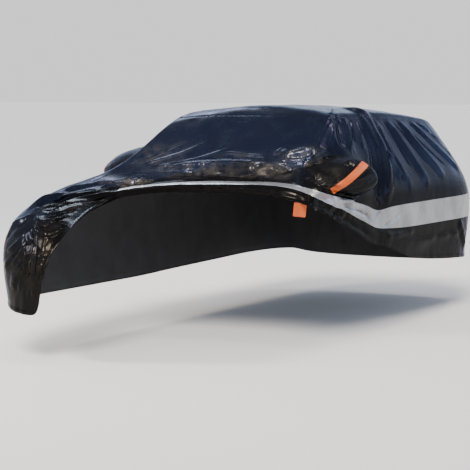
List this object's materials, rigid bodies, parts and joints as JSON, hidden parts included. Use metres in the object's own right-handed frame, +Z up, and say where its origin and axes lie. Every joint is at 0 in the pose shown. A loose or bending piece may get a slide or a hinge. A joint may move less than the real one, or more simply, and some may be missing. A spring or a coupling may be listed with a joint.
{
  "type": "fitted car cover",
  "caption": "Fitted car cover of thin coated cloth, with a reflective strip all round, mirror pockets and an elastic hem, pulled up at one front corner.",
  "frame": {"origin": "under the middle of the cover's roof, where it bears on what it covers, 1.512 m over the ground", "axes": "+Y from the cover's front to its tail, +X to its left side, +Z up"},
  "size_m": [2.058, 4.3867, 1.2455],
  "materials": {
    "coated_cloth": "glossy black and dark blue coated film over cloth",
    "pocket_cloth": "glossy black coated film over cloth",
    "silver_strip": "silver grey reflective coated tape",
    "orange_tape": "orange woven tape, stitched on"
  },
  "bodies": {
    "root": {"front_panel": "coated_cloth", "roof_panel": "coated_cloth", "rear_panel": "coated_cloth", "left_side_panel": "coated_cloth", "right_side_panel": "coated_cloth", "right_rear_panel": "coated_cloth", "left_mirror_pocket": "pocket_cloth", "right_mirror_pocket": "pocket_cloth", "left_reflective_strip": "silver_strip", "front_reflective_strip": "silver_strip", "rear_reflective_strip": "silver_strip", "right_reflective_strip": "silver_strip", "corner_flash": "orange_tape", "left_mirror_flash": "orange_tape", "right_mirror_flash": "orange_tape", "hem_label": "orange_tape"}
  },
  "joints": []
}
